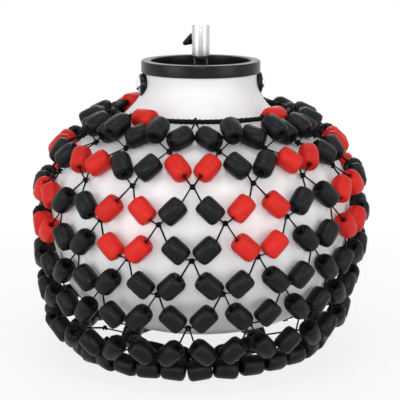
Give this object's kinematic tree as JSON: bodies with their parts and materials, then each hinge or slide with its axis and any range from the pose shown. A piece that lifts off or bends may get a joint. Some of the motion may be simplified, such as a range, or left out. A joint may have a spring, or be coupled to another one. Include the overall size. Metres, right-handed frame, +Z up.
{
  "type": "hi-hat shaker",
  "caption": "Hollow gourd shaker in a net of barrel beads; a clutch in its open neck clamps on a hi-hat pull rod, so the pedal shakes it",
  "frame": {"origin": "On the pull rod's axis, level with the top of the neck's rim", "axes": "+Z up along the pull rod, -Y to the front, +X to the right seen from the front"},
  "size_m": [0.2521, 0.2523, 0.2457],
  "materials": {
    "white_shell": "semi-gloss moulded",
    "black_rubber": "satin",
    "chrome": "bright plated",
    "zinc_steel": "zinc plated",
    "grey_felt": "pressed felt",
    "black_cord": "braided",
    "black_bead": "soft sheen",
    "red_bead": "soft sheen"
  },
  "bodies": {
    "shell": {"gourd_shell": "white_shell", "neck_rim": "black_rubber", "clutch_tube": "chrome", "bolt_left": "chrome", "bolt_right": "chrome", "clutch_nut_upper": "zinc_steel", "clutch_nut_lower": "zinc_steel", "mounting_bracket": "zinc_steel", "bolt_nut_left": "zinc_steel", "bolt_nut_right": "zinc_steel", "clutch_washer_upper": "grey_felt", "clutch_washer_lower": "grey_felt", "bolt_pad_left": "black_rubber", "bolt_pad_right": "black_rubber", "rod_grommet": "black_rubber"},
    "wing": {"wing_screw": "chrome"},
    "collar": {"collar_cord": "black_cord"},
    "net": {"beaded_cord_01": "black_bead", "beaded_cord_02": "black_bead", "beaded_cord_03": "black_bead", "beaded_cord_04": "black_bead", "beaded_cord_05": "black_bead", "beaded_cord_06": "black_bead", "beaded_cord_07": "black_bead", "beaded_cord_08": "black_bead", "beaded_cord_09": "black_bead", "beaded_cord_10": "black_bead", "beaded_cord_11": "black_bead", "beaded_cord_12": "black_bead", "beaded_cord_13": "black_bead", "beaded_cord_14": "black_bead", "beaded_cord_15": "black_bead", "beaded_cord_16": "black_bead", "base_cord": "black_bead"},
    "bead_1": {"collar_bead_1": "red_bead"},
    "bead_2": {"collar_bead_2": "red_bead"},
    "bead_3": {"collar_bead_3": "red_bead"},
    "bead_4": {"collar_bead_4": "red_bead"}
  },
  "joints": [
    {"name": "wing_turn", "type": "hinge", "parent": "shell", "child": "wing", "pos_m": [0, 0, 0.015], "axis": [-0.5, 0.866, 0], "range_deg": [-360, 360]},
    {"name": "net_lift", "type": "slide", "parent": "shell", "child": "collar", "axis": [0, 0, 1], "range_m": [0, 0.002]},
    {"name": "net_turn", "type": "hinge", "parent": "collar", "child": "net", "pos_m": [0, 0, 0], "axis": [0, 0, 1], "continuous": true},
    {"name": "bead_1_spin", "type": "hinge", "parent": "net", "child": "bead_1", "pos_m": [0.05228, -0.03904, -0.03638], "axis": [0.5983, 0.8013, 0], "continuous": true},
    {"name": "bead_2_spin", "type": "hinge", "parent": "net", "child": "bead_2", "pos_m": [0.03904, 0.05228, -0.03638], "axis": [-0.8013, 0.5983, 0], "continuous": true},
    {"name": "bead_3_spin", "type": "hinge", "parent": "net", "child": "bead_3", "pos_m": [-0.05228, 0.03904, -0.03638], "axis": [-0.5983, -0.8013, 0], "continuous": true},
    {"name": "bead_4_spin", "type": "hinge", "parent": "net", "child": "bead_4", "pos_m": [-0.03904, -0.05228, -0.03638], "axis": [0.8013, -0.5983, 0], "continuous": true}
  ]
}
